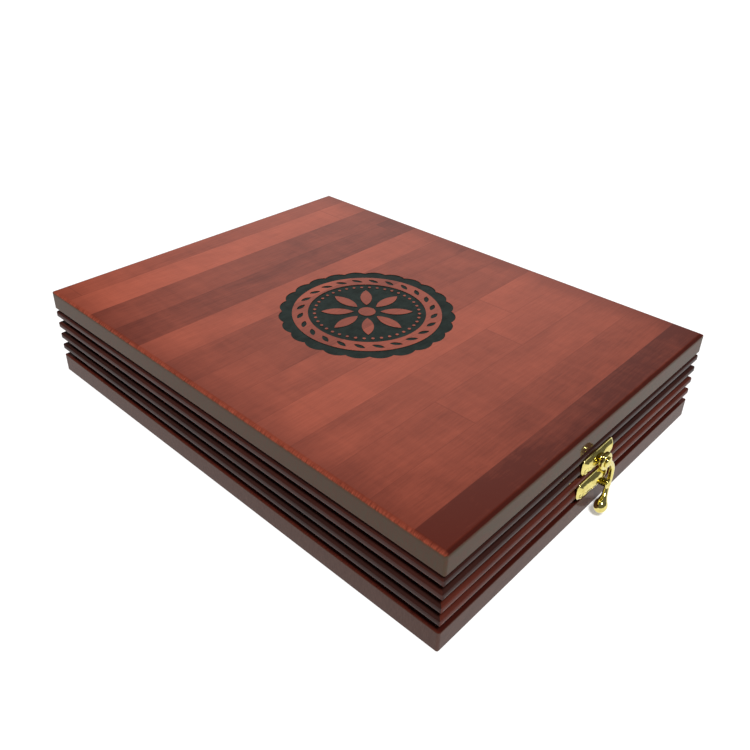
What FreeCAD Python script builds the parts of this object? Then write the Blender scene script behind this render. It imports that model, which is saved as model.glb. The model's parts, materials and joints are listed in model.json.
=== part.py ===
import FreeCAD, Part
import math
import os

# A flat, hinged wooden presentation case with grooved sides and a brass swing-hook latch.
# Millimetres. X runs along the latch side, Y from the latch side to the hinge side, Z up.
# The origin is the centre of the underside. "Proud" is a distance out from the latch side's ribs.

V = FreeCAD.Vector

# Case
WIDTH = 254.0              # 10 in, along X
DEPTH = 330.0              # 13 in, along Y
BASE_BOARD = 12.0          # thickness of the bottom board
LID_BOARD = 12.7           # thickness of the lid's board
HEIGHT = 61.0
RAIL = 18.0                # thickness of the side rails, at their ribs
CORNER = 1.5               # radius of the upright corners
RIB = 5.5                  # height of a rib between two grooves
RIBS = 2                   # on the base, and as many on the lid
PITCH = 8.4                # from one rib to the next
FIRST_RIB = 18.4           # height of the lowest rib's middle
GROOVE_DEPTH = 5.0
RIB_ROUND = 2.4            # radius of a rib's two edges, nearly a half round
EASED = 0.35               # radius of an edge that is only sanded
LID_ROUND = 2.5            # radius round the lid's top

# Lining
LINING = 1.5               # fabric over card, on the rails
LINING_BELOW_RIM = 1.0     # rail left bare at the rim
PAD = 3.0                  # padded floor and lid panels

# Medallion cut into the lid
MEDALLION_DEPTH = 0.4
MEDALLION_RIM = 53.8       # radius of the notches between the scallops
SCALLOPS = 24
SCALLOP_RISE = 2.2
BAND_OUTER = 47.5          # plain band between the rim and the centre
BAND_INNER = 37.5
BAND_LEAVES = 24
LEAF_LENGTH = 8.0
LEAF_WIDTH = 3.2
LEAF_SLANT = 62.0          # degrees between a leaf and its spoke
PETALS = 8
PETAL_START = 8.5
PETAL_END = 29.0
PETAL_WIDTH = 7.5
BEADS = 40
BEAD_RING = 33.3
BEAD_RADIUS = 1.0
HUB_RADIUS = 5.5

# Latch
LATCH_X = 2.5
PLATE = 1.6                # thickness of the plates' screw lobes
PLATE_HALF = 15.5
RAISED_HALF = 7.5          # half the width of the plates' thicker middles
UPPER_RAISED = 2.6         # thickness of the upper plate's middle
LOWER_RAISED = 3.8
UPPER_TOP = 43.2
UPPER_BOTTOM = 32.2
LOWER_TOP = 26.8
LOWER_BOTTOM = 15.2
PLATE_UPPER_ROUND = 3.0
PLATE_LOWER_ROUND = 4.5
PIVOT = (0.0, 37.6)        # hook pivot, as (X from the latch's middle, Z)
PIVOT_RADIUS = 1.6
BOSS_RADIUS = 3.2
BOSS_FACE = 3.9            # proud of the ribs
HOOK_BACK = 4.1
HOOK_THICKNESS = 2.6
HOOK_FRONT_GAP = 0.2       # between the hook and the rivet's head
RIVET_HEAD = 1.2
CATCH = (6.2, 18.9)        # the stud that the hook closes round
CATCH_RADIUS = 2.4
CATCH_HEAD_RADIUS = 3.0
HOOK_HEAD_RADIUS = 5.2
ARM_CENTRE = (-0.7, 22.5)  # centre of the hook's curve
ARM_RADIUS = 12.3
ARM_WIDTH = 2.9
ARM_START = 75.0           # angles of the hook's curve, in degrees
ARM_END = -30.0
NECK_RADIUS = 1.2          # where the neck meets the ball end
TAIL = (1.8, 6.6)          # centre of the ball end
TAIL_RADIUS = 4.0
TAIL_PROUD = 7.5
RUNNING_GAP = 0.06         # radial clearance of a pin that turns
PLATE_SCREW_X = 11.8
UPPER_SCREW_Z = 35.2
LOWER_SCREW_Z = 18.4

# Hinges
HINGE_X = 78.0
HINGE_LENGTH = 38.0
KNUCKLES = 5
KNUCKLE_RADIUS = 1.9
KNUCKLE_GAP = 0.15         # along the barrel, between a knuckle and the other leaf
LEAF_GAP = 0.35            # between a knuckle and the edge of the other leaf
BARREL_OUT = 1.5           # the hinge axis, out from the back ribs
LEAF_INNER = 14.5          # from the back ribs to the leaf's inner edge
LEAF = 0.95
MORTISE = 1.0
HINGE_PIN_RADIUS = 1.0
HINGE_SCREW_IN = 10.0      # from the back ribs to the screws
HINGE_SCREW_END = 6.0      # from a leaf's ends to its outer screws

# Screws
SHANK_RADIUS = 0.9
SCREW_LENGTH = 8.0
HEAD_RADIUS = 2.0
HINGE_HEAD_RADIUS = 1.75
SLOT_WIDTH = 0.5
SLOT_DEPTH = 0.4
LATCH_SCREW_DOME = 0.5

FRONT = -DEPTH / 2
BACK = DEPTH / 2
PARTING = FIRST_RIB + (RIBS - 0.5) * PITCH
LID_UNDER = HEIGHT - LID_BOARD
INNER_X = WIDTH / 2 - RAIL
INNER_Y = DEPTH / 2 - RAIL
HINGE_Y = BACK + BARREL_OUT
BRASS_FRONT = HOOK_BACK + HOOK_THICKNESS + HOOK_FRONT_GAP
SIDES = {"front": 0, "right": 90, "back": 180, "left": 270}


# ---------------------------------------------------------------- outlines

def polar(centre, radius, degrees):
    angle = math.radians(degrees)
    return (centre[0] + radius * math.cos(angle), centre[1] + radius * math.sin(angle))


def flat(u, v):
    """A point of a drawing in the XY plane."""
    return V(u, v, 0)


def upright(u, v):
    """A point of a drawing in the XZ plane."""
    return V(u, 0, v)


def sideways(u, v):
    """A point of a drawing in the YZ plane."""
    return V(0, u, v)


def outline(stretches, place):
    """A face bounded by stretches: two points make a line, three an arc."""
    edges = []
    for points in stretches:
        placed = [place(*p) for p in points]
        if len(placed) == 2:
            edges.append(Part.makeLine(*placed))
        else:
            edges.append(Part.Arc(*placed).toShape())
    return Part.Face(Part.Wire(edges))


def rounded(corners, place):
    """A face with straight sides between corners (u, v, radius), each rounded by its own radius."""
    starts = []
    middles = []
    ends = []
    for i, (u, v, radius) in enumerate(corners):
        corner = V(u, v, 0)
        back = V(*corners[i - 1][:2], 0) - corner
        on = V(*corners[(i + 1) % len(corners)][:2], 0) - corner
        back.normalize()
        on.normalize()
        half = back.getAngle(on) / 2
        inward = back + on
        inward.normalize()
        centre = corner + inward * (radius / math.sin(half))
        starts.append(corner + back * (radius / math.tan(half)))
        ends.append(corner + on * (radius / math.tan(half)))
        middles.append(centre - inward * radius)
    stretches = []
    for i, corner in enumerate(corners):
        if corner[2]:
            stretches.append([p[:2] for p in (starts[i], middles[i], ends[i])])
        following = starts[(i + 1) % len(corners)]
        stretches.append([p[:2] for p in (ends[i], following)])
    return outline(stretches, place)


def disc(radius, centre=(0, 0)):
    circle = Part.makeCircle(radius, V(centre[0], centre[1], 0))
    return Part.Face(Part.Wire([circle]))


def lens(length, width, centre, degrees):
    """A leaf shape of two arcs, in the XY plane, pointing along the given direction."""
    tips = [polar(centre, length / 2, degrees + turn) for turn in (0, 180)]
    sides = [polar(centre, width / 2, degrees + turn) for turn in (90, 270)]
    return outline([[tips[0], sides[0], tips[1]], [tips[1], sides[1], tips[0]]], flat)


def block(x_range, y_range, z_range):
    size = [b - a for a, b in (x_range, y_range, z_range)]
    return Part.makeBox(*size, V(x_range[0], y_range[0], z_range[0]))


def turned(shape, degrees):
    """A copy of the shape, turned about the vertical through the origin."""
    copy = shape.copy()
    copy.rotate(V(0, 0, 0), V(0, 0, 1), degrees)
    return copy


def mirrored(shape):
    """The shape's mirror image in the plane X = 0."""
    return shape.mirror(V(0, 0, 0), V(1, 0, 0))


def joined(shapes):
    return shapes[0].fuse(shapes[1:]).removeSplitter()


# ---------------------------------------------------------------- wooden case

def case_block(bottom, top):
    """The case's whole outline with its rounded corners, between two heights."""
    x = WIDTH / 2
    corners = [(-x, FRONT, CORNER), (x, FRONT, CORNER), (x, BACK, CORNER), (-x, BACK, CORNER)]
    whole = rounded(corners, flat).extrude(V(0, 0, top - bottom))
    whole.translate(V(0, 0, bottom))
    return whole


def rib_corners(z):
    """The corners of one rib, from bottom to top, as (in from the outer face, Z, radius)."""
    return [
        (GROOVE_DEPTH, z, 0),
        (0, z, RIB_ROUND),
        (0, z + RIB, RIB_ROUND),
        (GROOVE_DEPTH, z + RIB, 0),
    ]


def rail_profile(bottom, top, ribs):
    corners = [(RAIL, bottom, 0), (GROOVE_DEPTH, bottom, 0)]
    for i in ribs:
        corners += rib_corners(FIRST_RIB - RIB / 2 + i * PITCH)
    corners += [(GROOVE_DEPTH, top, 0), (RAIL, top, 0)]
    return rounded(corners, sideways)


def rail(side, bottom, top, ribs):
    """One grooved rail with mitred ends, and with the numbered ribs. It is made as a front rail and
    turned to its side."""
    turn = SIDES[side]
    along, across = (WIDTH, DEPTH) if turn % 180 == 0 else (DEPTH, WIDTH)
    bar = rail_profile(bottom, top, ribs).extrude(V(along, 0, 0))
    bar.translate(V(-along / 2, -across / 2, 0))
    mitre = [
        (-along / 2, -across / 2, 0),
        (along / 2, -across / 2, 0),
        (along / 2 - RAIL, -across / 2 + RAIL, 0),
        (-along / 2 + RAIL, -across / 2 + RAIL, 0),
    ]
    limits = rounded(mitre, flat).extrude(V(0, 0, HEIGHT))
    return turned(bar.common(limits), turn).common(case_block(bottom, top))


def base_rail(side):
    return rail(side, BASE_BOARD, PARTING, range(RIBS))


def lid_rail(side):
    return rail(side, PARTING, LID_UNDER, range(RIBS, 2 * RIBS))


def edges_at(shape, z):
    return [e for e in shape.Edges if all(abs(v.Z - z) < 1e-6 for v in e.Vertexes)]


def board(bottom, top, top_round, bottom_round):
    wood = block((-WIDTH / 2, WIDTH / 2), (FRONT, BACK), (bottom, top))
    wood = wood.makeFillet(top_round, edges_at(wood, top))
    wood = wood.makeFillet(bottom_round, edges_at(wood, bottom))
    return wood.common(case_block(bottom, top))


def scalloped_disc():
    step = 360 / SCALLOPS
    arcs = []
    for i in range(SCALLOPS):
        start = polar((0, 0), MEDALLION_RIM, i * step)
        crest = polar((0, 0), MEDALLION_RIM + SCALLOP_RISE, (i + 0.5) * step)
        end = polar((0, 0), MEDALLION_RIM, (i + 1) * step)
        arcs.append([start, crest, end])
    return outline(arcs, flat)


def rosette():
    """The parts of the medallion's centre that are left standing."""
    shapes = [disc(HUB_RADIUS)]
    for i in range(PETALS):
        degrees = 90 + i * 360 / PETALS
        centre = polar((0, 0), (PETAL_START + PETAL_END) / 2, degrees)
        shapes.append(lens(PETAL_END - PETAL_START, PETAL_WIDTH, centre, degrees))
    for i in range(BEADS):
        shapes.append(disc(BEAD_RADIUS, polar((0, 0), BEAD_RING, (i + 0.5) * 360 / BEADS)))
    return shapes


def band_leaves():
    """A wreath of engraved leaves round the plain band."""
    middle = (BAND_OUTER + BAND_INNER) / 2
    shapes = []
    for i in range(BAND_LEAVES):
        degrees = (i + 0.5) * 360 / BAND_LEAVES
        centre = polar((0, 0), middle, degrees)
        shapes.append(lens(LEAF_LENGTH, LEAF_WIDTH, centre, degrees + LEAF_SLANT))
    return shapes


def engraving():
    faces = [scalloped_disc().cut(disc(BAND_OUTER))]
    faces.append(disc(BAND_INNER).cut(rosette()))
    faces += band_leaves()
    cutters = [f.extrude(V(0, 0, LID_BOARD)) for f in faces]
    tool = Part.makeCompound(cutters)
    tool.translate(V(0, 0, HEIGHT - MEDALLION_DEPTH))
    return tool


def lid_panel():
    wood = board(LID_UNDER, HEIGHT, LID_ROUND, EASED)
    return wood.cut(engraving())


def base_panel():
    return board(0, BASE_BOARD, EASED, EASED)


# ---------------------------------------------------------------- lining

def side_lining(side, bottom, top):
    """A fabric-covered strip against the inside of one rail. The end strips fit between the long ones."""
    half_x = INNER_X
    half_y = INNER_Y
    if side in ("front", "back"):
        strip = block((-half_x + LINING, half_x - LINING), (-half_y, -half_y + LINING), (bottom, top))
        return turned(strip, SIDES[side])
    strip = block((-half_x, -half_x + LINING), (-half_y, half_y), (bottom, top))
    return strip if side == "left" else turned(strip, 180)


def pad(bottom):
    """A padded panel that fills the space between the side linings."""
    x = INNER_X - LINING
    y = INNER_Y - LINING
    return block((-x, x), (-y, y), (bottom, bottom + PAD))


# ---------------------------------------------------------------- screws

def screw_blank(head_radius, dome):
    """A countersunk screw without its slot. The head's rim is at Z = 0, and its shank points down."""
    shank = Part.makeCylinder(SHANK_RADIUS, SCREW_LENGTH, V(0, 0, -SCREW_LENGTH))
    depth = head_radius - SHANK_RADIUS
    cone = Part.makeCone(SHANK_RADIUS, head_radius, depth, V(0, 0, -depth))
    parts = [shank, cone]
    if dome:
        radius = (head_radius ** 2 + dome ** 2) / (2 * dome)
        ball = Part.makeSphere(radius, V(0, 0, dome - radius))
        parts.append(ball.common(Part.makeCylinder(head_radius, dome)))
    return joined(parts)


def slotted(blank, head_radius, dome):
    across = (-SLOT_WIDTH / 2, SLOT_WIDTH / 2)
    slot = block((-head_radius, head_radius), across, (dome - SLOT_DEPTH, dome + SLOT_DEPTH))
    return blank.cut(slot)


def placed(shape, at, direction):
    """A copy of the shape with its Z axis turned to the direction, standing at a point."""
    copy = shape.copy()
    copy.Placement = FreeCAD.Placement(at, FreeCAD.Rotation(V(0, 0, 1), direction))
    return copy


def screws(places, direction, head_radius, dome):
    """Screws at each place, and the blanks that cut their holes."""
    blank = screw_blank(head_radius, dome)
    solid = slotted(blank, head_radius, dome)
    solids = [placed(solid, at, direction) for at in places]
    holes = [placed(blank, at, direction) for at in places]
    return Part.makeCompound(solids), Part.makeCompound(holes)


# ---------------------------------------------------------------- latch

def latch_point(u, proud, z):
    return V(LATCH_X + u, FRONT - proud, z)


def stud(at, radius, back, front):
    """A cylinder that stands out from the latch side."""
    return Part.makeCylinder(radius, front - back, latch_point(at[0], back, at[1]), V(0, -1, 0))


def stamped_plate(bottom, top, raised):
    """A plate with thin screw lobes and a thicker middle."""
    corners = [
        (-PLATE_HALF, top, PLATE_UPPER_ROUND),
        (PLATE_HALF, top, PLATE_UPPER_ROUND),
        (PLATE_HALF, bottom, PLATE_LOWER_ROUND),
        (-PLATE_HALF, bottom, PLATE_LOWER_ROUND),
    ]
    face = rounded(corners, upright)
    lobes = face.extrude(V(0, -PLATE, 0))
    middle = block((-RAISED_HALF, RAISED_HALF), (-raised, 0), (bottom, top))
    shape = joined([lobes, middle])
    shape.translate(latch_point(0, 0, 0))
    return shape


def latch_screw_places(z):
    return [latch_point(u, PLATE, z) for u in (-PLATE_SCREW_X, PLATE_SCREW_X)]


def latch_upper_plate(holes):
    plate = stamped_plate(UPPER_BOTTOM, UPPER_TOP, UPPER_RAISED)
    plate = joined([plate, stud(PIVOT, BOSS_RADIUS, 0, BOSS_FACE)])
    return plate.cut([holes, stud(PIVOT, PIVOT_RADIUS, 0, BOSS_FACE)])


def latch_lower_plate(holes):
    plate = stamped_plate(LOWER_BOTTOM, LOWER_TOP, LOWER_RAISED)
    return plate.cut([holes, stud(CATCH, CATCH_RADIUS, 0, LOWER_RAISED)])


def latch_pivot():
    """The rivet that the hook turns on."""
    head = stud(PIVOT, BOSS_RADIUS, BRASS_FRONT, BRASS_FRONT + RIVET_HEAD)
    return joined([stud(PIVOT, PIVOT_RADIUS, 0, BRASS_FRONT), head])


def latch_catch():
    """The headed stud that the hook closes round."""
    head = stud(CATCH, CATCH_HEAD_RADIUS, BRASS_FRONT, BRASS_FRONT + RIVET_HEAD)
    return joined([stud(CATCH, CATCH_RADIUS, 0, BRASS_FRONT), head])


def hook_arm():
    """The hook's curved arm, from inside its head, round the stud, to the neck."""
    radii = (ARM_RADIUS + ARM_WIDTH / 2, ARM_RADIUS - ARM_WIDTH / 2)
    middle = (ARM_START + ARM_END) / 2
    outer = [polar(ARM_CENTRE, radii[0], a) for a in (ARM_START, middle, ARM_END)]
    inner = [polar(ARM_CENTRE, radii[1], a) for a in (ARM_END, middle, ARM_START)]
    return outline([outer, [outer[-1], inner[0]], inner, [inner[-1], outer[0]]], upright)


def hook_tail():
    """The neck and the ball end, turned as one piece. They lean outwards from the arm's end."""
    end = polar(ARM_CENTRE, ARM_RADIUS, ARM_END)
    start = latch_point(end[0], HOOK_BACK + HOOK_THICKNESS / 2, end[1])
    ball = latch_point(TAIL[0], TAIL_PROUD, TAIL[1])
    length = start.distanceToPoint(ball)
    foot = (ARM_WIDTH / 2, 0)
    meeting = (NECK_RADIUS, length - math.sqrt(TAIL_RADIUS ** 2 - NECK_RADIUS ** 2))
    widest = (TAIL_RADIUS, length)
    tip = (0, length + TAIL_RADIUS)
    half = outline([[(0, 0), foot], [foot, meeting], [meeting, widest, tip], [tip, (0, 0)]], upright)
    return placed(half.revolve(V(0, 0, 0), V(0, 0, 1), 360), start, ball - start)


def latch_hook():
    """The swinging hook: a head, an arm that curves round the stud, a neck and a ball end."""
    front = HOOK_BACK + HOOK_THICKNESS
    arm = hook_arm().extrude(V(0, -HOOK_THICKNESS, 0))
    arm.translate(latch_point(0, HOOK_BACK, 0))
    knee = stud(polar(ARM_CENTRE, ARM_RADIUS, ARM_END), ARM_WIDTH / 2, HOOK_BACK, front)
    head = stud(PIVOT, HOOK_HEAD_RADIUS, HOOK_BACK, front)
    hole = stud(PIVOT, PIVOT_RADIUS + RUNNING_GAP, HOOK_BACK, front)
    return joined([arm, knee, hook_tail(), head]).cut(hole)


# ---------------------------------------------------------------- hinges

def barrel(x_start, x_end, radius):
    return Part.makeCylinder(radius, x_end - x_start, V(x_start, HINGE_Y, PARTING), V(1, 0, 0))


def knuckle_spans(which):
    """The X ranges of every other knuckle, from a hinge's left end, for the leaf that holds them."""
    pitch = HINGE_LENGTH / KNUCKLES
    return [(i * pitch, (i + 1) * pitch) for i in range(KNUCKLES) if i % 2 == which]


def hinge_leaf(which, z_range, pin_gap, holes):
    """One leaf of the right-hand hinge. Leaf 0 is on the base and leaf 1 on the lid."""
    left = HINGE_X - HINGE_LENGTH / 2
    plate = block((left, left + HINGE_LENGTH), (BACK - LEAF_INNER, HINGE_Y), z_range)
    cleared = []
    for start, end in knuckle_spans(1 - which):
        gap = (left + start - KNUCKLE_GAP, left + end + KNUCKLE_GAP)
        cleared.append(block(gap, (HINGE_Y - KNUCKLE_RADIUS - LEAF_GAP, HINGE_Y), z_range))
    plate = plate.cut(cleared)
    for start, end in knuckle_spans(which):
        plate = plate.fuse(barrel(left + start, left + end, KNUCKLE_RADIUS))
    bore = barrel(left, left + HINGE_LENGTH, HINGE_PIN_RADIUS + pin_gap)
    return plate.cut([bore, holes]).removeSplitter()


def hinge_pin():
    left = HINGE_X - HINGE_LENGTH / 2
    return barrel(left, left + HINGE_LENGTH, HINGE_PIN_RADIUS)


def mortise(z_range):
    left = HINGE_X - HINGE_LENGTH / 2
    return block((left, left + HINGE_LENGTH), (BACK - LEAF_INNER, BACK), z_range)


def hinge_screw_places(z):
    spread = HINGE_LENGTH / 2 - HINGE_SCREW_END
    places = []
    for centre in (-HINGE_X, HINGE_X):
        places += [V(centre + dx, BACK - HINGE_SCREW_IN, z) for dx in (-spread, 0, spread)]
    return places


# ---------------------------------------------------------------- assembly

def wooden_nodes(upper_holes, lower_holes, lid_hinge_holes, base_hinge_holes):
    nodes = {"lid_panel": lid_panel(), "base_panel": base_panel()}
    for side in SIDES:
        nodes["lid_rail_" + side] = lid_rail(side)
        nodes["base_rail_" + side] = base_rail(side)
    lid_mortise = mortise((PARTING, PARTING + MORTISE))
    base_mortise = mortise((PARTING - MORTISE, PARTING))
    cuts = {
        "lid_rail_front": [upper_holes],
        "base_rail_front": [lower_holes],
        "lid_rail_back": [lid_hinge_holes, lid_mortise, mirrored(lid_mortise)],
        "base_rail_back": [base_hinge_holes, base_mortise, mirrored(base_mortise)],
    }
    for name, tools in cuts.items():
        nodes[name] = nodes[name].cut(tools)
    return nodes


def lining_nodes():
    nodes = {"base_pad": pad(BASE_BOARD), "lid_pad": pad(LID_UNDER - PAD)}
    for side in SIDES:
        nodes["base_lining_" + side] = side_lining(side, BASE_BOARD, PARTING - LINING_BELOW_RIM)
        nodes["lid_lining_" + side] = side_lining(side, PARTING + LINING_BELOW_RIM, LID_UNDER)
    return nodes


def main():
    out = V(0, -1, 0)
    up = V(0, 0, 1)
    leaf_gap = MORTISE - LEAF
    base_leaf = (PARTING - MORTISE, PARTING - leaf_gap)
    lid_leaf = (PARTING + leaf_gap, PARTING + MORTISE)
    upper_screws, upper_holes = screws(
        latch_screw_places(UPPER_SCREW_Z), out, HEAD_RADIUS, LATCH_SCREW_DOME
    )
    lower_screws, lower_holes = screws(
        latch_screw_places(LOWER_SCREW_Z), out, HEAD_RADIUS, LATCH_SCREW_DOME
    )
    base_screws, base_holes = screws(hinge_screw_places(base_leaf[1]), up, HINGE_HEAD_RADIUS, 0)
    lid_screws, lid_holes = screws(hinge_screw_places(lid_leaf[0]), -up, HINGE_HEAD_RADIUS, 0)

    nodes = wooden_nodes(upper_holes, lower_holes, lid_holes, base_holes)
    nodes.update(lining_nodes())
    nodes["latch_upper_plate"] = latch_upper_plate(upper_holes)
    nodes["latch_lower_plate"] = latch_lower_plate(lower_holes)
    nodes["latch_pivot"] = latch_pivot()
    nodes["latch_catch"] = latch_catch()
    nodes["latch_hook"] = latch_hook()
    nodes["latch_upper_screws"] = upper_screws
    nodes["latch_lower_screws"] = lower_screws
    right_hinge = {
        "base_leaf": hinge_leaf(0, base_leaf, 0, base_holes),
        "lid_leaf": hinge_leaf(1, lid_leaf, RUNNING_GAP, lid_holes),
        "pin": hinge_pin(),
    }
    for name, shape in right_hinge.items():
        nodes["hinge_right_" + name] = shape
        nodes["hinge_left_" + name] = mirrored(shape)
    nodes["hinge_base_screws"] = base_screws
    nodes["hinge_lid_screws"] = lid_screws

    os.makedirs("parts", exist_ok=True)
    for name, shape in nodes.items():
        shape.exportStep(f"parts/{name}.step")
        print(name, shape.isValid(), len(shape.Solids), round(shape.Volume, 1))


main()
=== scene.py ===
import json
import math
import random

import bmesh
import bpy
from mathutils import Matrix, Vector

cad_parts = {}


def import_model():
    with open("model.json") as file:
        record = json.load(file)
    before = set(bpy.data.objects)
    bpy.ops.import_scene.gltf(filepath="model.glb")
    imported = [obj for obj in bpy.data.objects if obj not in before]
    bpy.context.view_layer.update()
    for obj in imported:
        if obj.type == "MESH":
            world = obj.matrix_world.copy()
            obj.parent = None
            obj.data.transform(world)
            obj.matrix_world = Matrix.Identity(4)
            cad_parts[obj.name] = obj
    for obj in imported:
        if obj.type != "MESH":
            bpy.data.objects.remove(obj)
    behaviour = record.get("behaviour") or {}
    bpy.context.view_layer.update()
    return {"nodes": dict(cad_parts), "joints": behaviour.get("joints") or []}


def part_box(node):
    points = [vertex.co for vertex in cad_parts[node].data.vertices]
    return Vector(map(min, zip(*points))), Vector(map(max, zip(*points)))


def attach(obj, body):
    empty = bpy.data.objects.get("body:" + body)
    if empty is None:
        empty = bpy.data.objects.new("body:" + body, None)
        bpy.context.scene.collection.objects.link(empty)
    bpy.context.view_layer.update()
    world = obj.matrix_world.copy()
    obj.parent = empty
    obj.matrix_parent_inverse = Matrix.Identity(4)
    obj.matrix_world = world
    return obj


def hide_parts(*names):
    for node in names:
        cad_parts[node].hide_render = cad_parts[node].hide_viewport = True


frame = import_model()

# Looks for the flat hinged presentation case. Metres, in the CAD frame: X along the latch side,
# Y from the latch side to the hinge side, Z up.


def colour(red, green, blue):
    return (red, green, blue, 1.0)


MM = 0.001
NODES = frame["nodes"]
LID_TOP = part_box("lid_panel")[1].z
HALF_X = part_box("base_panel")[1].x
HALF_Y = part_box("base_panel")[1].y
HOOK_JOINT = next(j for j in frame["joints"] if j["child"] == "hook")
PIVOT = Vector(HOOK_JOINT["pos_m"])

# Camera
CAMERA_AT = (-0.3188, -0.2947, 0.3018)
CAMERA_HEADING = -46.99    # degrees about Z, from +Y
CAMERA_PITCH = -31.22      # degrees up from level
CAMERA_ROLL = 1.13
LENS = 37.52               # millimetres, as is the sensor's width
SENSOR = 36.0
SHIFT = (0.0156, -0.0448)

# Studio
FLOOR_HALF = 12.0
FLOOR_GLOW = 0.3
SURROUNDINGS = 0.14        # their brightness, away from the glow
GLOW = 1.0                 # what the brighter side adds
GLOW_TOWARDS = (0.71, 0.58, 0.39)
GLOW_EDGE = 0.89           # cosine of the angle at which the glow begins
GLOW_CORE = 0.995          # cosine of the angle at which it is full
SKY_STRENGTH = 2.7
SKY_SPREAD = 14            # degrees, as are the next two
SKY_TILT = 28
SKY_HEADING = -35

# Wood
STAVE = 26.4 * MM          # width of the strips that the boards are glued from
FIRST_STAVE = -145.8 * MM  # Y of the first joint from the latch side
STAVE_LENGTH = 0.31
# tone of each strip from the latch side, partly the strips' own differing tones; the first strip's darkest
# tone is painted shade, light falling off towards the latch-side edge
STAVE_TONES = (0.0, 0.43, 0.57, 0.64, 0.74, 0.64, 0.43, 0.48, 0.70, 0.20, 0.33, 0.96, 0.64)
ROUNDOVER = 2.5 * MM       # radius round the lid's top
CORNER = 1.5 * MM          # radius of the upright corners
DARK_END = 22 * MM         # length of the darkening towards the boards' ends
LACQUER = 0.42             # weight of the clear coat
COAT_ROUGHNESS = 0.05
GROOVE_DEPTH = 5.0 * MM
MEDALLION_RADIUS = 57 * MM
MEDALLION_SKIM = 0.2 * MM  # the engraving's floor lies deeper than this

# Colours of wood, each pair from dark to light
LID_WOOD = colour(0.11, 0.018, 0.010), colour(0.63, 0.138, 0.074)
# painted shade for the lid board's upright faces, darker and greyer than its top
LID_SIDE_SHADE = colour(0.062, 0.042, 0.022)
BASE_WOOD = colour(0.035, 0.007, 0.005), colour(0.19, 0.035, 0.020)
# painted shade for the base board's upright faces
BASE_SIDE_SHADE = colour(0.090, 0.042, 0.030)
# colour that the boards darken towards within the roundovers along the latch and hinge sides
EDGE_DARKENING = colour(0.05, 0.008, 0.005)
BURNT = colour(0.008, 0.012, 0.010), colour(0.028, 0.042, 0.037)
# Lit and shaded copies of the one rail wood, painted light and shade: the base's rails along X lit, the
# lid's along Y half lit, the rest shaded
LIT_RAIL = colour(0.030, 0.006, 0.004), colour(0.16, 0.034, 0.020)
HALF_LIT_RAIL = colour(0.018, 0.005, 0.004), colour(0.09, 0.023, 0.015)
SHADED_RAIL = colour(0.012, 0.005, 0.004), colour(0.06, 0.017, 0.012)
RAIL_LIGHT_AND_SHADE = {("base", "X"): LIT_RAIL, ("base", "Y"): SHADED_RAIL, ("lid", "X"): SHADED_RAIL, ("lid", "Y"): HALF_LIT_RAIL}

# Colours of brass, each pair from bright to tarnished, and of velvet
LATCH_BRASS = colour(0.80, 0.70, 0.24), colour(0.60, 0.50, 0.14)
HINGE_BRASS = colour(0.78, 0.62, 0.28), colour(0.60, 0.46, 0.18)
VELVET = colour(0.004, 0.004, 0.006), colour(0.022, 0.022, 0.027)
VELVET_SHEEN = colour(0.55, 0.56, 0.65)

# Latch, as stamped and cast
PLATE_HALF = 15.5 * MM
PLATE_ROUNDS = (3.0 * MM, 4.5 * MM)  # a plate's corners, at its top and its bottom
RIM = 0.7 * MM             # a plate's height at its edge
LOBE = 3.2 * MM            # its height at the middle of a lobe
BEVEL = 0.95               # slope of the wide bevel along its top
EDGE = 0.4 * MM            # radius round its front edge
SCREW_HEAD = 2.0 * MM
SEAT = 1.45 * MM           # height of the sunk seats for the screws
SEAT_RADIUS = 2.5 * MM
SEAT_WALL = 0.6 * MM
# Where a plate swells: its middle across, half its width, and its height
UPPER_SWELL = (0.0, 9.5 * MM, 3.6 * MM)
LOWER_SWELL = (2.0 * MM, 11.0 * MM, 3.8 * MM)
EDGE_STEPS = 4
LOBE_STEPS = 16
PIVOT_RADIUS = 1.6 * MM
CATCH_RADIUS = 2.4 * MM
RIVET_HEAD = 1.2 * MM      # thickness of the pins' heads
PIN_BACK = 1.0 * MM        # where the latch's two pins begin, out from the ribs
# Outlines of turned parts: radius and distance out from the ribs, in millimetres
BOSS = ((1.7, 1.0), (3.2, 1.0), (3.2, 3.6), (2.9, 3.9), (1.7, 3.9))
HOOK_HEAD = (
    (1.75, 4.1), (4.7, 4.1), (5.1, 4.35), (5.2, 4.8), (5.2, 6.0), (5.1, 6.4), (4.7, 6.7), (1.75, 6.7),
)
# The hook's centreline: across from the latch's middle, height, distance out, radius, flatness; millimetres
HOOK_PATH = (
    (1.0, 36.8, 5.3, 2.3, 0.55),
    (4.2, 34.5, 5.4, 1.95, 0.68),
    (8.2, 31.2, 5.5, 1.60, 0.85),
    (11.0, 27.0, 5.5, 1.48, 0.92),
    (11.7, 22.5, 5.5, 1.45, 0.95),
    (11.1, 18.6, 5.6, 1.45, 1.0),
    (9.7, 15.6, 5.8, 1.42, 1.0),
    (7.7, 12.7, 6.3, 1.50, 1.0),
    (5.6, 10.4, 6.9, 1.75, 1.0),
)
BALL = (1.9, 6.6, 7.5)
BALL_RADIUS = 3.7
BALL_STRETCH = 1.18        # the ball end's length over its width
BALL_RINGS = 18
HOOK_VOXEL = 0.16 * MM

# Padded velvet
PANEL_EDGE, PANEL_CROWN = 1.4 * MM, 0.7 * MM
LINING_EDGE, LINING_CROWN = 0.8 * MM, 0.12 * MM
PANEL_SPACING = 4 * MM     # between a panel's vertices


# ---------------------------------------------------------------- shader nodes

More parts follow.
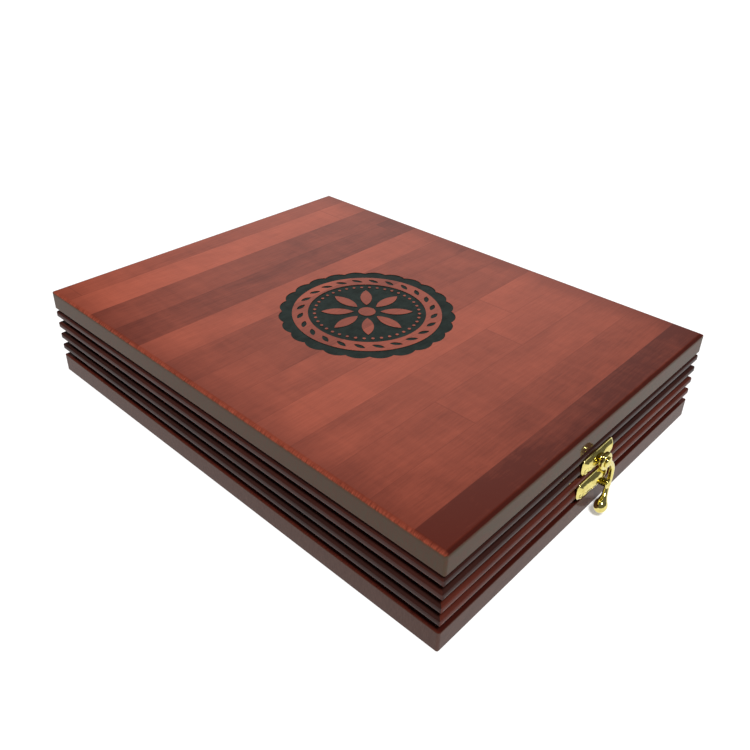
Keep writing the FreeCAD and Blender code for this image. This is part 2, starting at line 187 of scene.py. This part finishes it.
class Shader:
    """A material's node tree, with short calls for the nodes that are used here."""

    def __init__(self, name):
        self.material = bpy.data.materials.new(name)
        self.material.use_nodes = True
        self.tree = self.material.node_tree
        self.surface = self.tree.nodes["Principled BSDF"]

    def put(self, socket, value):
        if isinstance(value, bpy.types.NodeSocket):
            self.tree.links.new(value, socket)
        else:
            socket.default_value = value

    def node(self, kind, inputs=(), **settings):
        made = self.tree.nodes.new("ShaderNode" + kind)
        for key, value in settings.items():
            setattr(made, key, value)
        for key, value in dict(inputs).items():
            self.put(made.inputs[key], value)
        return made

    def math(self, operation, a, b=0.0, clamp=False):
        return self.node("Math", {0: a, 1: b}, operation=operation, use_clamp=clamp).outputs[0]

    def place(self):
        return self.node("TexCoord").outputs["Object"]

    def parts(self, vector):
        return self.node("SeparateXYZ", {0: vector}).outputs

    def vector(self, x, y, z):
        return self.node("CombineXYZ", {0: x, 1: y, 2: z}).outputs[0]

    def scaled(self, place, scale, shift=(0, 0, 0)):
        return self.node("Mapping", {"Vector": place, "Scale": scale, "Location": shift}).outputs[0]

    def noise(self, place, scale, detail=3.0, roughness=0.5, distortion=0.0):
        inputs = {"Vector": place, "Scale": scale, "Detail": detail,
                  "Roughness": roughness, "Distortion": distortion}
        return self.node("TexNoise", inputs).outputs["Fac"]

    def spread(self, value, low, high, start=0.0, end=1.0):
        """The value's range from low to high, turned into start to end and held there."""
        inputs = {"Value": value, "From Min": low, "From Max": high, "To Min": start, "To Max": end}
        return self.node("MapRange", inputs).outputs[0]

    def mix(self, factor, a, b, blend="MIX"):
        made = self.node("Mix", data_type="RGBA", blend_type=blend)
        self.put(made.inputs["Factor"], factor)
        self.put(made.inputs["A"], a)
        self.put(made.inputs["B"], b)
        return made.outputs["Result"]

    def bump(self, height, distance, strength=1.0):
        inputs = {"Height": height, "Distance": distance, "Strength": strength}
        return self.node("Bump", inputs).outputs[0]

    def finish(self, **inputs):
        for key, value in inputs.items():
            self.put(self.surface.inputs[key.replace("_", " ")], value)
        return self.material


# ---------------------------------------------------------------- wood

def staves(s, xyz):
    """The tone of each glued strip, a hash for each board in a strip, and the glue lines."""
    row = s.math("DIVIDE", s.math("SUBTRACT", xyz[1], FIRST_STAVE), STAVE)
    index = s.math("FLOOR", row)
    start = s.node("TexWhiteNoise", {"W": index}, noise_dimensions="1D").outputs["Value"]
    along = s.math("ADD", s.math("DIVIDE", xyz[0], STAVE_LENGTH), start)
    cell = s.vector(index, s.math("FLOOR", along), 0.0)
    chance = s.node("TexWhiteNoise", {"Vector": cell}).outputs["Value"]
    ramp = s.node("ValToRGB")
    ramp.color_ramp.interpolation = "CONSTANT"
    count = len(STAVE_TONES)
    for i, tone in enumerate(STAVE_TONES):
        stops = ramp.color_ramp.elements
        stop = stops[0] if i == 0 else stops.new(i / count)
        stop.color = colour(tone, tone, tone)
    s.tree.links.new(s.math("DIVIDE", s.math("ADD", index, 1.5), count), ramp.inputs[0])
    seam = s.math("ABSOLUTE", s.math("SUBTRACT", s.math("FRACT", row), 0.5))
    line = s.spread(seam, 0.488, 0.498)
    butt = s.math("ABSOLUTE", s.math("SUBTRACT", s.math("FRACT", along), 0.5))
    line = s.math("MAXIMUM", line, s.spread(butt, 0.4985, 0.4997))
    return ramp.outputs[0], chance, line


def board_wood(name, shades, side, engraved):
    """A lacquered board glued from strips, with end grain at X's ends. The lid's has the engraving."""
    dark, light = shades
    s = Shader(name)
    place = s.place()
    xyz = s.parts(place)
    tone, chance, line = staves(s, xyz)
    apart = s.vector(chance, chance, chance)
    own = s.node("VectorMath", {0: place, 1: apart}, operation="ADD").outputs[0]
    fibres = s.noise(s.scaled(own, (60, 900, 900)), 1.0, 4.0, 0.6, 0.3)
    flecks = s.noise(s.scaled(own, (350, 3000, 3000)), 1.0, 2.0, 0.7)
    cloud = s.noise(s.scaled(own, (14, 30, 30)), 1.0, 3.0, 0.55, 0.6)
    curl = s.noise(s.scaled(own, (160, 26, 26)), 1.0, 2.0, 0.5, 0.4)
    level = s.math("ADD", s.math("MULTIPLY", tone, 0.6), s.math("MULTIPLY", chance, 0.10), clamp=True)
    for value, share in ((fibres, 0.30), (flecks, 0.10), (cloud, 0.50), (curl, 0.16)):
        level = s.math("ADD", level, s.math("MULTIPLY", s.math("SUBTRACT", value, 0.5), share))
    wood = s.mix(level, dark, light)
    wood = s.mix(s.math("MULTIPLY", line, 0.35), wood, dark)

    # end grain, darkening towards the ends and within the roundovers at the latch and hinge sides, and
    # painted shade on the upright faces
    rim_x = s.math("SUBTRACT", HALF_X, s.math("ABSOLUTE", xyz[0]))
    rim_y = s.math("SUBTRACT", HALF_Y, s.math("ABSOLUTE", xyz[1]))
    wood = s.mix(s.spread(rim_x, DARK_END, 2 * MM, 0.0, 0.45), wood, dark)
    # darker within the roundovers along the latch and hinge sides
    wood = s.mix(s.spread(rim_y, ROUNDOVER, 1.5 * MM, 0.0, 0.9), wood, EDGE_DARKENING)
    streaks = s.noise(s.scaled(place, (120, 1100, 260)), 1.0, 3.0, 0.65, 0.2)
    ends = s.mix(s.spread(streaks, 0.30, 0.75, 0.0, 0.7), dark, light)
    wood = s.mix(s.spread(rim_x, ROUNDOVER, 0.3 * MM), wood, ends)
    # painted shade: the upright faces take the darker, greyer side colour
    upright = s.spread(rim_depth(s, xyz), 0.5 * MM, 0.12 * MM)
    wood = s.mix(upright, wood, s.mix(s.spread(streaks, 0.3, 0.7, 0.0, 0.4), side, dark))

    height = s.math("ADD", s.math("MULTIPLY", fibres, 0.7), s.math("MULTIPLY", line, -0.5))
    lacquer = LACQUER
    if engraved:
        wood, lacquer, height = engraving(s, place, xyz, wood, height)
    return lacquered(s, wood, lacquer, s.spread(fibres, 0.3, 0.7, 0.4, 0.5), height)


def rim_depth(s, xyz):
    """How far in from the case's rounded outline a point is, up to the radius of the corners."""
    over_x = s.math("SUBTRACT", s.math("ABSOLUTE", xyz[0]), HALF_X - CORNER)
    over_y = s.math("SUBTRACT", s.math("ABSOLUTE", xyz[1]), HALF_Y - CORNER)
    over = s.vector(s.math("MAXIMUM", over_x, 0.0), s.math("MAXIMUM", over_y, 0.0), 0.0)
    length = s.node("VectorMath", {0: over}, operation="LENGTH").outputs["Value"]
    return s.math("SUBTRACT", CORNER, length)


def lacquered(s, wood, lacquer, roughness, height):
    """Stained wood under clear lacquer, which gives nearly all of its gloss."""
    return s.finish(
        Base_Color=wood, Roughness=roughness, Specular_IOR_Level=0.0, Coat_Weight=lacquer,
        Coat_Roughness=COAT_ROUGHNESS, Normal=s.bump(height, 0.01 * MM, 0.1),
    )


def engraving(s, place, xyz, wood, height):
    """The burnt floor of the medallion, with little lacquer and the fine lines that the engraver leaves."""
    radius = s.node("VectorMath", {0: s.vector(xyz[0], xyz[1], 0.0)}, operation="LENGTH").outputs["Value"]
    inside = s.spread(radius, MEDALLION_RADIUS, MEDALLION_RADIUS - 0.5 * MM)
    sunk = s.spread(xyz[2], LID_TOP - 0.02 * MM, LID_TOP - MEDALLION_SKIM)
    floor = s.math("MULTIPLY", inside, sunk)
    lines = s.noise(s.scaled(place, (90, 4200, 100)), 1.0, 2.0, 0.6)
    smoke = s.noise(s.scaled(place, (160, 160, 160)), 1.0, 4.0, 0.6)
    shade = s.math("ADD", s.math("MULTIPLY", lines, 0.5), s.math("MULTIPLY", smoke, 0.6), clamp=True)
    burnt = s.mix(s.spread(shade, 0.35, 0.8), *BURNT)
    wood = s.mix(floor, wood, burnt)
    lacquer = s.spread(floor, 0.0, 1.0, LACQUER, 0.3 * LACQUER)
    height = s.math("ADD", height, s.math("MULTIPLY", floor, s.math("MULTIPLY", lines, 2.0)))
    return wood, lacquer, height


def rail_wood(name, along, shades):
    """A grooved rail, with its grain along one axis and darker inside the grooves, partly stain and partly
    painted shade.
    """
    dark, light = shades
    s = Shader(name)
    place = s.place()
    xyz = s.parts(place)
    if along == "X":
        fibre_scale, fleck_scale = (50, 1000, 1000), (300, 3000, 3000)
        across, half = xyz[1], HALF_Y
    else:
        fibre_scale, fleck_scale = (1000, 50, 1000), (3000, 300, 3000)
        across, half = xyz[0], HALF_X
    fibres = s.noise(s.scaled(place, fibre_scale), 1.0, 4.0, 0.6, 0.3)
    flecks = s.noise(s.scaled(place, fleck_scale), 1.0, 2.0, 0.7)
    cloud = s.noise(s.scaled(place, (22, 22, 60)), 1.0, 3.0, 0.5)
    level = s.math("ADD", s.math("MULTIPLY", fibres, 0.5), s.math("MULTIPLY", flecks, 0.2))
    level = s.math("ADD", level, s.math("MULTIPLY", s.math("SUBTRACT", cloud, 0.4), 0.7), clamp=True)
    wood = s.mix(level, dark, light)
    # darker the deeper in from the rails' outer faces: partly darker stain in the grooves, partly painted
    # shade there
    inward = s.math("SUBTRACT", half, s.math("ABSOLUTE", across))
    wood = s.mix(s.spread(inward, 0.8 * MM, GROOVE_DEPTH, 0.0, 0.65), wood, dark)
    return lacquered(s, wood, LACQUER, s.spread(fibres, 0.3, 0.7, 0.4, 0.5), fibres)


# ---------------------------------------------------------------- brass and velvet

def brass(name, shades, roughness):
    """Polished brass with a soft ripple, cloudy tarnish and fine rub marks."""
    s = Shader(name)
    place = s.place()
    cloud = s.noise(s.scaled(place, (260, 260, 260)), 1.0, 3.0, 0.6)
    ripple = s.noise(s.scaled(place, (260, 260, 260)), 1.0, 2.0, 0.5)
    rub = s.noise(s.scaled(place, (5200, 900, 900)), 1.0, 2.0, 0.6)
    base = s.mix(s.spread(cloud, 0.42, 0.75), *shades)
    height = s.math("ADD", ripple, s.math("MULTIPLY", rub, 0.04))
    return s.finish(
        Base_Color=base, Metallic=1.0,
        Roughness=s.spread(cloud, 0.3, 0.75, roughness, roughness * 2.2),
        Normal=s.bump(height, 0.25 * MM, 0.45),
    )


def velvet(name):
    """Short-pile black velvet."""
    s = Shader(name)
    place = s.place()
    pile = s.noise(s.scaled(place, (4200, 4200, 4200)), 1.0, 2.0, 0.7)
    brushed = s.noise(s.scaled(place, (28, 40, 40)), 1.0, 3.0, 0.6, 0.8)
    level = s.math("ADD", s.math("MULTIPLY", pile, 0.5), s.math("MULTIPLY", brushed, 0.6), clamp=True)
    base = s.mix(s.spread(level, 0.35, 0.8), *VELVET)
    return s.finish(
        Base_Color=base, Roughness=s.spread(pile, 0.2, 0.8, 0.8, 0.98),
        Sheen_Weight=0.6, Sheen_Roughness=0.35, Sheen_Tint=VELVET_SHEEN,
        Normal=s.bump(pile, 0.25 * MM, 0.6),
    )


# ---------------------------------------------------------------- meshes

def piece(name, verts, faces, material, body):
    """A smooth-shaded mesh piece that rides on a CAD body."""
    mesh = bpy.data.meshes.new(name)
    mesh.from_pydata([tuple(v) for v in verts], [], faces)
    bm = bmesh.new()
    bm.from_mesh(mesh)
    bmesh.ops.remove_doubles(bm, verts=bm.verts, dist=0.002 * MM)
    bmesh.ops.recalc_face_normals(bm, faces=bm.faces)
    bm.to_mesh(mesh)
    bm.free()
    for polygon in mesh.polygons:
        polygon.use_smooth = True
    mesh.materials.append(material)
    obj = bpy.data.objects.new(name, mesh)
    bpy.context.scene.collection.objects.link(obj)
    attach(obj, body)
    return obj


def loft(rings, cap_start=True, cap_end=True):
    """Vertices and faces of a skin over closed rings of equal length."""
    verts = [v for ring in rings for v in ring]
    count = len(rings[0])
    faces = []
    for i in range(len(rings) - 1):
        for j in range(count):
            k = (j + 1) % count
            faces.append((i * count + j, i * count + k, (i + 1) * count + k, (i + 1) * count + j))
    if cap_start:
        faces.append(tuple(range(count)))
    if cap_end:
        faces.append(tuple((len(rings) - 1) * count + j for j in range(count)))
    return verts, faces


def shifted(faces, by):
    return [tuple(i + by for i in f) for f in faces]


def proud(u, z, out):
    """A point on the latch, from its middle, its height and its distance out from the ribs."""
    return Vector((PIVOT.x + u, -HALF_Y - out, z))


def smooth_step(value):
    t = min(1.0, max(0.0, value))
    return t * t * (3 - 2 * t)


def rounded_ring(half, bottom, top, rounds, inset, steps=8, runs=60):
    """Points round an upright rounded rectangle, inset from its outline."""
    corners = [
        (half, top, rounds[0], 0), (-half, top, rounds[0], 90),
        (-half, bottom, rounds[1], 180), (half, bottom, rounds[1], 270),
    ]
    arcs = []
    for u, z, radius, start in corners:
        reach = max(radius, inset)
        centre = (u - math.copysign(reach, u), z - reach if z == top else z + reach)
        rest = max(radius - inset, 0.0)
        arc = []
        for i in range(steps + 1):
            angle = math.radians(start + 90 * i / steps)
            arc.append((centre[0] + rest * math.cos(angle), centre[1] + rest * math.sin(angle)))
        arcs.append(arc)
    points = []
    for i, arc in enumerate(arcs):
        points += arc
        end, begin = arc[-1], arcs[(i + 1) % 4][0]
        for j in range(1, runs):
            t = j / runs
            points.append((end[0] + (begin[0] - end[0]) * t, end[1] + (begin[1] - end[1]) * t))
    return points


def lathe(profile, centre, segments=48):
    """Rings for a profile of (radius, out), turned about the latch's outward direction."""
    rings = []
    for radius, out in profile:
        ring = []
        for i in range(segments):
            angle = 2 * math.pi * i / segments
            u = centre[0] + radius * math.cos(angle)
            z = centre[1] + radius * math.sin(angle)
            ring.append(proud(u, z, out))
        rings.append(ring)
    return rings


# ---------------------------------------------------------------- latch

def stamped_plate(node, screws, swell):
    """Rings of a stamped plate: domed lobes with sunk screws, a bevelled top, and a middle that swells."""
    swell_at, swell_half, swell_height = swell
    low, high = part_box(node)
    screw_low, screw_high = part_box(screws)
    screw_u = (screw_high.x - screw_low.x) / 2 - SCREW_HEAD
    screw_z = (screw_low.z + screw_high.z) / 2
    deepest = (high.z - low.z) / 2 - 0.05 * MM
    steps = [(0.0, 0.0), (0.0, RIM - EDGE)]
    for i in range(1, EDGE_STEPS + 1):
        angle = math.radians(90 * i / EDGE_STEPS)
        steps.append((EDGE * (1 - math.cos(angle)), RIM - EDGE + EDGE * math.sin(angle)))
    for i in range(1, LOBE_STEPS + 1):
        t = i / LOBE_STEPS
        steps.append((EDGE + (deepest - EDGE) * t, RIM + (LOBE - RIM) * (1 - (1 - t) ** 2)))
    rings = []
    for inset, out in steps:
        ring = []
        for u, z in rounded_ring(PLATE_HALF, low.z, high.z, PLATE_ROUNDS, inset):
            raised = smooth_step(1 - abs(u - swell_at) / swell_half)
            height = min(out * (1 + raised * (swell_height / LOBE - 1)), RIM + (high.z - z) * BEVEL)
            from_screw = math.hypot(abs(u) - screw_u, z - screw_z)
            sunk = 1 - smooth_step((from_screw - SEAT_RADIUS) / SEAT_WALL)
            ring.append(proud(u, z, height - sunk * max(0.0, height - SEAT)))
        rings.append(ring)
    return rings


def tube(path, radii, flatness, segments=28):
    """A skin round a path, with its own radius at each point. Flatness is thickness over width."""
    rings = []
    for i, point in enumerate(path):
        before = path[max(i - 1, 0)]
        after = path[min(i + 1, len(path) - 1)]
        ahead = (after - before).normalized()
        outward = Vector((0, -1, 0))
        outward = (outward - ahead * outward.dot(ahead)).normalized()
        side = ahead.cross(outward)
        ring = []
        for j in range(segments):
            angle = 2 * math.pi * j / segments
            across = side * (radii[i] * math.cos(angle))
            out = outward * (radii[i] * flatness[i] * math.sin(angle))
            ring.append(point + across + out)
        rings.append(ring)
    return rings


def spline(points, per_span=10):
    """A Catmull-Rom curve through points of any number of values."""
    ends = [points[0]] + list(points) + [points[-1]]
    curve = []
    for i in range(1, len(ends) - 2):
        a, b, c, d = ends[i - 1:i + 3]
        for j in range(per_span):
            t = j / per_span
            curve.append([
                0.5 * (2 * q + (r - p) * t + (2 * p - 5 * q + 4 * r - v) * t ** 2
                       + (3 * q - p - 3 * r + v) * t ** 3)
                for p, q, r, v in zip(a, b, c, d)
            ])
    curve.append(list(points[-1]))
    return curve


def merged(shapes):
    """One list of vertices and one of faces from several."""
    verts, faces = [], []
    for some_verts, some_faces in shapes:
        faces += shifted(some_faces, len(verts))
        verts += some_verts
    return verts, faces


def turned(profile):
    """Vertices and faces of a ring round the hook's pivot, from a closed outline in millimetres."""
    rings = lathe([(radius * MM, out * MM) for radius, out in profile], (0.0, PIVOT.z))
    return loft(rings + rings[:1], False, False)


def upper_plate(material):
    plate = stamped_plate("latch_upper_plate", "latch_upper_screws", UPPER_SWELL)
    ring = turned(BOSS)
    verts, faces = merged([loft(plate), ring])
    obj = piece("latch_upper_plate_brass", verts, faces, material, "lid")
    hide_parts("latch_upper_plate")


def lower_plate(material):
    plate = stamped_plate("latch_lower_plate", "latch_lower_screws", LOWER_SWELL)
    verts, faces = loft(plate)
    obj = piece("latch_lower_plate_brass", verts, faces, material, "base")
    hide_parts("latch_lower_plate")


def headed_pin(node, centre, radius, body, material):
    """A rivet with a rounded head that has a dimple in it."""
    low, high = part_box(node)
    front = -low.y - HALF_Y
    head = (high.x - low.x) / 2
    neck = front - RIVET_HEAD
    profile = [
        (0.01 * MM, PIN_BACK), (radius, PIN_BACK), (radius, neck), (head, neck), (head, neck + 0.4 * MM),
        (head * 0.93, neck + 0.75 * MM), (head * 0.75, front - 0.12 * MM), (head * 0.5, front),
        (head * 0.34, front - 0.05 * MM), (head * 0.26, front - 0.3 * MM), (0.01 * MM, front - 0.4 * MM),
    ]
    verts, faces = loft(lathe(profile, centre))
    obj = piece(node + "_brass", verts, faces, material, body)
    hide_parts(node)


def hook(material):
    """The cast hook: head, curved arm, neck and ball end, melted into one skin."""
    curve = spline(HOOK_PATH)
    ball = Vector(BALL)
    neck = curve[-1]
    inward = (Vector(neck[:3]) - ball).normalized()
    opening = math.asin(neck[3] / BALL_RADIUS)
    for i in range(2, BALL_RINGS):
        angle = opening + (math.pi - opening) * i / BALL_RINGS
        at = ball + inward * (BALL_STRETCH * BALL_RADIUS * math.cos(angle))
        curve.append([*at, BALL_RADIUS * math.sin(angle), 1.0])
    path = [proud(*[value * MM for value in row[:3]]) for row in curve]
    radii = [row[3] * MM for row in curve]
    flatness = [row[4] for row in curve]
    rings = tube(path, radii, flatness)
    verts, faces = merged([turned(HOOK_HEAD), loft(rings)])
    obj = piece("latch_hook_brass", verts, faces, material, "hook")
    melt(obj, HOOK_VOXEL)
    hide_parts("latch_hook")


def melt(obj, voxel):
    """Joins a piece's overlapping skins into one, as in a casting, and smooths the corners between them."""
    remesh = obj.modifiers.new("melt", "REMESH")
    remesh.mode = "VOXEL"
    remesh.voxel_size = voxel
    smooth = obj.modifiers.new("smooth", "SMOOTH")
    smooth.factor = 0.5
    smooth.iterations = 8
    graph = bpy.context.evaluated_depsgraph_get()
    made = bpy.data.meshes.new_from_object(obj.evaluated_get(graph))
    obj.modifiers.clear()
    obj.data = made
    for polygon in made.polygons:
        polygon.use_smooth = True


# ---------------------------------------------------------------- lining

def marks(length, edge, count):
    """Places along a length, close together near its two ends."""
    ends = [edge * (1 - math.cos(math.radians(90 * i / 4))) for i in range(5)]
    middle = [edge + (length - 2 * edge) * i / count for i in range(1, count)]
    return ends + middle + [length - e for e in reversed(ends)]


def grid_faces(rows, columns):
    faces = []
    for i in range(rows - 1):
        for j in range(columns - 1):
            k = i * columns + j
            faces.append((k, k + columns, k + columns + 1, k + 1))
    return faces


def grid_border(rows, columns):
    """The numbers of a grid's outer vertices, in order round it."""
    border = [i * columns for i in range(rows)]
    border += [(rows - 1) * columns + j for j in range(1, columns)]
    border += [i * columns + columns - 1 for i in range(rows - 2, -1, -1)]
    border += list(range(columns - 2, 0, -1))
    return border


def soft_panel(node, body, facing, edge, crown, material, draw):
    """Velvet over a padded card: rounded edges, a low crown, and sides that pull in between the corners.

    Facing is the axis that the velvet faces along, with its sign.
    """
    low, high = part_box(node)
    axis, sign = facing
    across = [i for i in range(3) if i != axis]
    sizes = [high[i] - low[i] for i in across]
    depth = high[axis] - low[axis]
    pull = 0.25 * crown
    waves = [(draw.uniform(20, 70), draw.uniform(20, 70), draw.uniform(0, 6.28)) for i in range(5)]
    us, vs = [marks(size, edge, max(4, int(size / PANEL_SPACING))) for size in sizes]
    verts = []
    for u in us:
        for v in vs:
            a, b = 2 * u / sizes[0] - 1, 2 * v / sizes[1] - 1
            gap = min(u, sizes[0] - u, v, sizes[1] - v)
            fall = edge - math.sqrt(max(0.0, edge ** 2 - max(0.0, edge - gap) ** 2))
            ripple = sum(math.sin(p * u * 3 + q * v * 3 + r) for p, q, r in waves) / len(waves)
            sag = crown * (1 - (1 - a ** 2) * (1 - b ** 2)) + 0.12 * crown * (1 + ripple)
            height = max(0.1 * depth, depth - min(fall, 0.85 * depth) - sag)
            point = [0.0, 0.0, 0.0]
            point[across[0]] = low[across[0]] + u - a * pull * (1 - b ** 2)
            point[across[1]] = low[across[1]] + v - b * pull * (1 - a ** 2)
            point[axis] = low[axis] + height if sign > 0 else high[axis] - height
            verts.append(point)
    faces = grid_faces(len(us), len(vs))
    border = grid_border(len(us), len(vs))
    back = list(range(len(verts), len(verts) + len(border)))
    for k in border:
        point = list(verts[k])
        point[axis] = low[axis] if sign > 0 else high[axis]
        verts.append(point)
    for i in range(len(border)):
        j = (i + 1) % len(border)
        faces.append((border[i], border[j], back[j], back[i]))
    faces.append(tuple(back))
    obj = piece(node + "_velvet", verts, faces, material, body)
    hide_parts(node)


def linings(material):
    draw = random.Random(7)
    facings = {"front": (1, 1), "back": (1, -1), "left": (0, 1), "right": (0, -1)}
    for half, up in (("base", 1), ("lid", -1)):
        soft_panel(half + "_pad", half, (2, up), PANEL_EDGE, PANEL_CROWN, material, draw)
        for side, facing in facings.items():
            node = half + "_lining_" + side
            soft_panel(node, half, facing, LINING_EDGE, LINING_CROWN, material, draw)


# ---------------------------------------------------------------- stage

def camera():
    data = bpy.data.cameras.new("camera")
    data.lens = LENS
    data.sensor_width = SENSOR
    data.shift_x, data.shift_y = SHIFT
    data.clip_start = 0.01
    data.clip_end = 50
    obj = bpy.data.objects.new("camera", data)
    heading = Matrix.Rotation(math.radians(CAMERA_HEADING), 4, "Z")
    pitch = Matrix.Rotation(math.radians(90 + CAMERA_PITCH), 4, "X")
    roll = Matrix.Rotation(math.radians(CAMERA_ROLL), 4, "Z")
    obj.matrix_world = Matrix.Translation(CAMERA_AT) @ heading @ pitch @ roll
    bpy.context.scene.collection.objects.link(obj)
    bpy.context.scene.camera = obj


def floor():
    mesh = bpy.data.meshes.new("floor")
    corners = [(-1, -1), (1, -1), (1, 1), (-1, 1)]
    mesh.from_pydata([(x * FLOOR_HALF, y * FLOOR_HALF, 0) for x, y in corners], [], [(0, 1, 2, 3)])
    s = Shader("floor")
    place = s.place()
    grain = s.noise(place, 90.0, 2.0)
    s.finish(
        Base_Color=s.mix(grain, colour(0.87, 0.87, 0.87), colour(0.90, 0.90, 0.90)), Roughness=0.9,
        Emission_Color=colour(1.0, 1.0, 1.0), Emission_Strength=FLOOR_GLOW,
    )
    mesh.materials.append(s.material)
    obj = bpy.data.objects.new("floor", mesh)
    bpy.context.scene.collection.objects.link(obj)


def sky_light():
    """One broad, soft light from far overhead."""
    data = bpy.data.lights.new("sky", "SUN")
    data.energy = SKY_STRENGTH
    data.angle = math.radians(SKY_SPREAD)
    obj = bpy.data.objects.new("sky", data)
    heading = Matrix.Rotation(math.radians(SKY_HEADING), 4, "Z")
    tilt = Matrix.Rotation(math.radians(SKY_TILT), 4, "X")
    obj.matrix_world = heading @ tilt
    bpy.context.scene.collection.objects.link(obj)


def world():
    """Dim surroundings with a glow to one side, and plain white where the camera looks past the floor."""
    made = bpy.data.worlds.new("studio")
    made.use_nodes = True
    tree = made.node_tree
    background = tree.nodes["Background"]
    background.inputs["Color"].default_value = colour(1.0, 1.0, 1.0)
    looking = tree.nodes.new("ShaderNodeTexCoord")
    nearness = tree.nodes.new("ShaderNodeVectorMath")
    nearness.operation = "DOT_PRODUCT"
    nearness.inputs[1].default_value = Vector(GLOW_TOWARDS).normalized()
    tree.links.new(looking.outputs["Generated"], nearness.inputs[0])
    shine = tree.nodes.new("ShaderNodeMapRange")
    shine.interpolation_type = "SMOOTHSTEP"
    shine.inputs["From Min"].default_value = GLOW_EDGE
    shine.inputs["From Max"].default_value = GLOW_CORE
    shine.inputs["To Min"].default_value = SURROUNDINGS
    shine.inputs["To Max"].default_value = SURROUNDINGS + GLOW
    tree.links.new(nearness.outputs["Value"], shine.inputs["Value"])
    seen = tree.nodes.new("ShaderNodeLightPath")
    choose = tree.nodes.new("ShaderNodeMapRange")
    choose.inputs["To Max"].default_value = 1.0
    tree.links.new(seen.outputs["Is Camera Ray"], choose.inputs["Value"])
    tree.links.new(shine.outputs[0], choose.inputs["To Min"])
    tree.links.new(choose.outputs[0], background.inputs["Strength"])
    bpy.context.scene.world = made


def stage():
    camera()
    floor()
    world()
    sky_light()
    bpy.context.scene.view_settings.view_transform = "Standard"


# ---------------------------------------------------------------- the object

def latch(material):
    upper_plate(material)
    lower_plate(material)
    headed_pin("latch_pivot", (0.0, PIVOT.z), PIVOT_RADIUS, "lid", material)
    low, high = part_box("latch_catch")
    catch_at = ((low.x + high.x) / 2 - PIVOT.x, (low.z + high.z) / 2)
    headed_pin("latch_catch", catch_at, CATCH_RADIUS, "base", material)
    hook(material)


def dress_cad(boards, rails, latch_brass, hinge_brass, lining):
    """Gives each CAD node its material."""
    for name, node in NODES.items():
        half = name.split("_")[0]
        if name in boards:
            material = boards[name]
        elif "rail" in name:
            material = rails[half, "X" if name.endswith(("front", "back")) else "Y"]
        elif name.startswith("latch"):
            material = latch_brass
        elif name.startswith("hinge"):
            material = hinge_brass
        else:
            material = lining
        node.data.materials.clear()
        node.data.materials.append(material)


def main():
    stage()
    boards = {
        "lid_panel": board_wood("lid_wood", LID_WOOD, LID_SIDE_SHADE, True),
        "base_panel": board_wood("base_wood", BASE_WOOD, BASE_SIDE_SHADE, False),
    }
    rails = {}
    # each rail gets the painted-light copy for its half and direction
    for (half, along), shades in RAIL_LIGHT_AND_SHADE.items():
        rails[half, along] = rail_wood(half + "_rail_wood_" + along.lower(), along, shades)
    latch_brass = brass("latch_brass", LATCH_BRASS, roughness=0.07)
    hinge_brass = brass("hinge_brass", HINGE_BRASS, roughness=0.22)
    lining = velvet("velvet")
    latch(latch_brass)
    linings(lining)
    dress_cad(boards, rails, latch_brass, hinge_brass, lining)


main()
